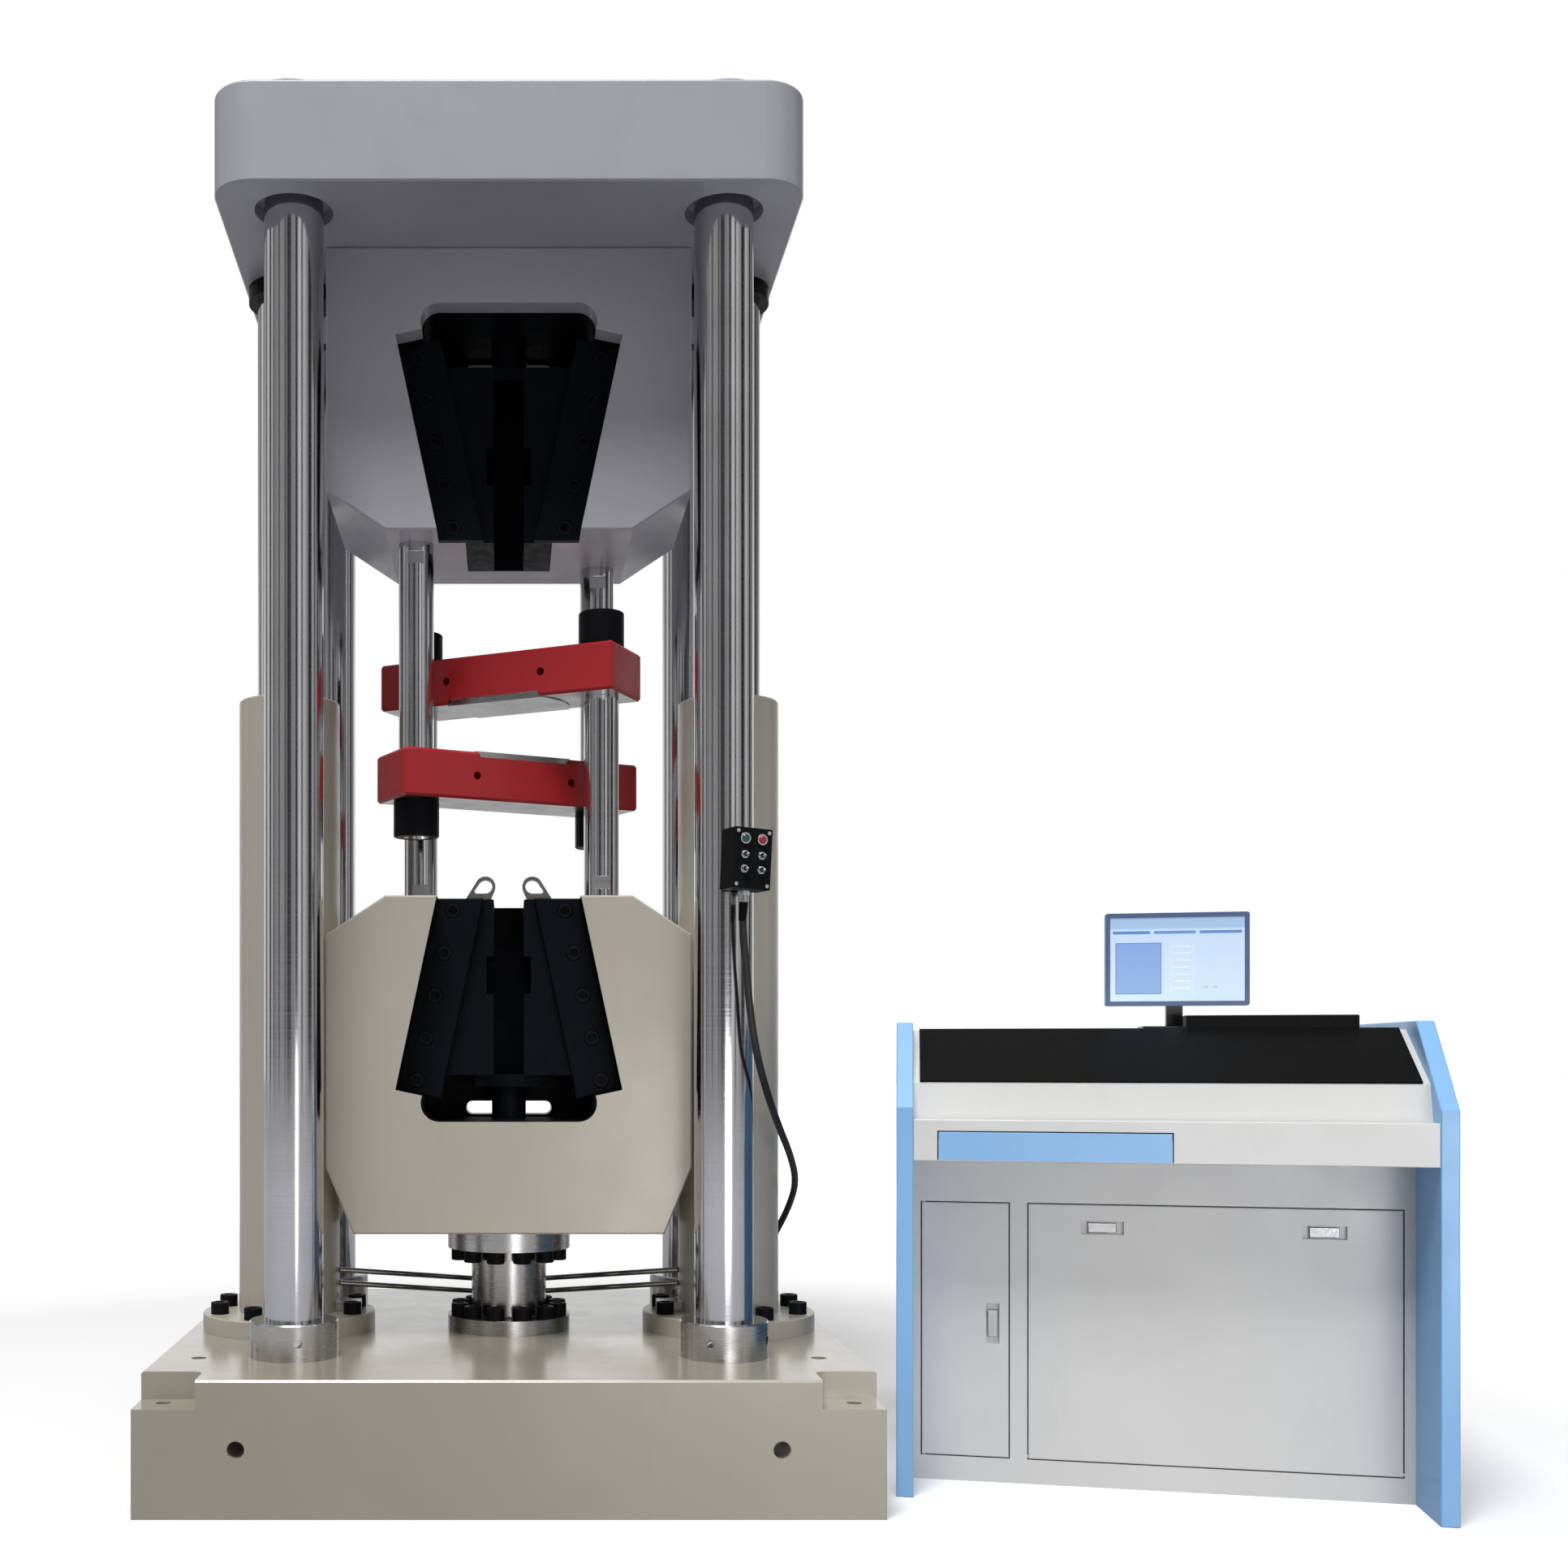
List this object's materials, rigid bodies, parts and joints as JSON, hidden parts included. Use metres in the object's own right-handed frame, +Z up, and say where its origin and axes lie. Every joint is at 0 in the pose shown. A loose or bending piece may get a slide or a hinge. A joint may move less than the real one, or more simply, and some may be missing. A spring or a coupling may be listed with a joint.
{
  "type": "hydraulic universal testing machine with control console",
  "caption": "Floor standing hydraulic tension and compression testing machine with wedge grips, press cage and hand pendant, beside its control console with a tilting monitor.",
  "frame": {"origin": "middle of the machine base's underside, on the floor", "axes": "+Z up, -Y is the front that faces the operator, +X towards the console"},
  "size_m": [2.3962, 1.2123, 2.567],
  "materials": {
    "warm_paint": "satin",
    "cool_paint": "satin",
    "tube_paint": "satin",
    "column_chrome": "polished",
    "bright_steel": "turned",
    "black_steel": "black oxide",
    "red_paint": "gloss",
    "blue_paint": "satin",
    "white_sheet": "satin",
    "black_panel": "gloss",
    "black_plastic": "moulded",
    "black_rubber": "matt",
    "green_plastic": "gloss",
    "red_plastic": "gloss",
    "monitor_plastic": "gloss",
    "stand_plastic": "gloss",
    "machine_grey": "satin"
  },
  "bodies": {
    "frame": {"base_block": "warm_paint", "main_columns": "column_chrome", "column_collars": "bright_steel", "cylinder_tubes": "tube_paint", "cylinder_glands": "bright_steel", "flange_screws": "black_steel", "load_cell": "bright_steel", "oil_manifold": "bright_steel", "oil_pipes": "column_chrome", "lower_grip_block": "warm_paint", "lower_cover_plates": "black_steel", "lower_cover_screws": "black_steel", "standing_ties": "column_chrome", "standing_nuts": "black_steel", "upper_press_beam": "red_paint", "upper_platen": "bright_steel", "pendant_box": "black_plastic", "pendant_lid": "black_plastic", "pendant_hardware": "column_chrome", "pendant_gland": "column_chrome", "pendant_cord": "black_rubber", "junction_box": "black_plastic", "console_sides": "blue_paint", "console_cabinet": "white_sheet", "console_desk": "white_sheet", "console_housing": "white_sheet", "instrument_panel": "black_panel", "monitor_stand": "stand_plastic", "power_pack": "machine_grey"},
    "crosshead": {"upper_grip_block": "cool_paint", "upper_cover_plates": "black_steel", "upper_cover_screws": "black_steel", "top_beam": "cool_paint", "guide_bushes": "black_steel", "piston_rods": "column_chrome", "hanging_ties": "column_chrome", "hanging_nuts": "black_steel", "lower_press_beam": "red_paint", "lower_platen": "bright_steel"},
    "lower_yoke": {"lower_yoke": "black_steel"},
    "lower_jaw_left": {"lower_jaw_left": "black_steel", "lower_handle_left": "column_chrome"},
    "lower_jaw_right": {"lower_jaw_right": "black_steel", "lower_handle_right": "column_chrome"},
    "upper_yoke": {"upper_yoke": "black_steel"},
    "upper_jaw_left": {"upper_jaw_left": "black_steel"},
    "upper_jaw_right": {"upper_jaw_right": "black_steel"},
    "green_button": {"green_button": "green_plastic"},
    "red_button": {"red_button": "red_plastic"},
    "toggle_1": {"toggle_1": "column_chrome"},
    "toggle_2": {"toggle_2": "column_chrome"},
    "toggle_3": {"toggle_3": "column_chrome"},
    "toggle_4": {"toggle_4": "column_chrome"},
    "console_drawer": {"console_drawer": "blue_paint"},
    "small_door": {"small_door": "white_sheet"},
    "large_door": {"large_door": "white_sheet"},
    "small_latch": {"small_latch": "column_chrome"},
    "large_latch_left": {"large_latch_left": "column_chrome"},
    "large_latch_right": {"large_latch_right": "column_chrome"},
    "monitor_head": {"monitor_head": "monitor_plastic"}
  },
  "joints": [
    {"name": "crosshead_lift", "type": "slide", "parent": "frame", "child": "crosshead", "axis": [0, 0, 1], "range_m": [-0.07, 0.1]},
    {"name": "lower_yoke_lift", "type": "slide", "parent": "frame", "child": "lower_yoke", "axis": [0, 0, 1], "range_m": [0, 0.075]},
    {"name": "upper_yoke_drop", "type": "slide", "parent": "crosshead", "child": "upper_yoke", "axis": [0, 0, -1], "range_m": [0, 0.075]},
    {"name": "lower_jaw_left_slide", "type": "slide", "parent": "frame", "child": "lower_jaw_left", "axis": [0.2079, 0, 0.9781], "range_m": [0, 0.077]},
    {"name": "lower_jaw_right_slide", "type": "slide", "parent": "frame", "child": "lower_jaw_right", "axis": [-0.2079, 0, 0.9781], "range_m": [0, 0.077]},
    {"name": "upper_jaw_left_slide", "type": "slide", "parent": "crosshead", "child": "upper_jaw_left", "axis": [0.2079, 0, -0.9781], "range_m": [0, 0.077]},
    {"name": "upper_jaw_right_slide", "type": "slide", "parent": "crosshead", "child": "upper_jaw_right", "axis": [-0.2079, 0, -0.9781], "range_m": [0, 0.077]},
    {"name": "green_button_press", "type": "slide", "parent": "frame", "child": "green_button", "axis": [-0.342, 0.9397, 0], "range_m": [0, 0.003], "stiffness_N_per_m": 400, "springref_m": -0.001},
    {"name": "red_button_press", "type": "slide", "parent": "frame", "child": "red_button", "axis": [-0.342, 0.9397, 0], "range_m": [0, 0.003], "stiffness_N_per_m": 400, "springref_m": -0.001},
    {"name": "toggle_1_flip", "type": "hinge", "parent": "frame", "child": "toggle_1", "pos_m": [0.42231, -0.444, 1.15988], "axis": [0.9384, 0.3416, -0.0523], "range_deg": [-12, 12]},
    {"name": "toggle_2_flip", "type": "hinge", "parent": "frame", "child": "toggle_2", "pos_m": [0.45421, -0.43239, 1.1581], "axis": [0.9384, 0.3416, -0.0523], "range_deg": [-12, 12]},
    {"name": "toggle_3_flip", "type": "hinge", "parent": "frame", "child": "toggle_3", "pos_m": [0.42103, -0.44447, 1.13392], "axis": [0.9384, 0.3416, -0.0523], "range_deg": [-12, 12]},
    {"name": "toggle_4_flip", "type": "hinge", "parent": "frame", "child": "toggle_4", "pos_m": [0.45293, -0.43286, 1.13214], "axis": [0.9384, 0.3416, -0.0523], "range_deg": [-12, 12]},
    {"name": "drawer_slide", "type": "slide", "parent": "frame", "child": "console_drawer", "axis": [-0.225, -0.9744, 0], "range_m": [0, 0.28]},
    {"name": "small_door_hinge", "type": "hinge", "parent": "frame", "child": "small_door", "pos_m": [0.78428, -0.28459, 0.047], "axis": [0, 0, -1], "range_deg": [0, 80]},
    {"name": "large_door_hinge", "type": "hinge", "parent": "frame", "child": "large_door", "pos_m": [0.96844, -0.32711, 0.051], "axis": [0.9744, -0.225, 0], "range_deg": [0, 90]},
    {"name": "small_latch_pull", "type": "hinge", "parent": "small_door", "child": "small_latch", "pos_m": [0.90585, -0.31369, 0.32], "axis": [-0.9744, 0.225, 0], "range_deg": [0, 45]},
    {"name": "large_latch_left_pull", "type": "hinge", "parent": "large_door", "child": "large_latch_left", "pos_m": [1.07344, -0.35238, 0.48], "axis": [0, 0, -1], "range_deg": [0, 45]},
    {"name": "large_latch_right_pull", "type": "hinge", "parent": "large_door", "child": "large_latch_right", "pos_m": [1.4437, -0.43786, 0.48], "axis": [0, 0, -1], "range_deg": [0, 45]},
    {"name": "monitor_tilt", "type": "hinge", "parent": "frame", "child": "monitor_head", "pos_m": [1.2846, -0.21126, 0.938], "axis": [-0.9744, 0.225, 0], "range_deg": [-5, 15]}
  ],
  "couplings": [
    {"joint": "lower_jaw_left_slide", "follows": "lower_yoke_lift", "ratio": 1.0223},
    {"joint": "lower_jaw_right_slide", "follows": "lower_yoke_lift", "ratio": 1.0223},
    {"joint": "upper_jaw_left_slide", "follows": "upper_yoke_drop", "ratio": 1.0223},
    {"joint": "upper_jaw_right_slide", "follows": "upper_yoke_drop", "ratio": 1.0223}
  ]
}
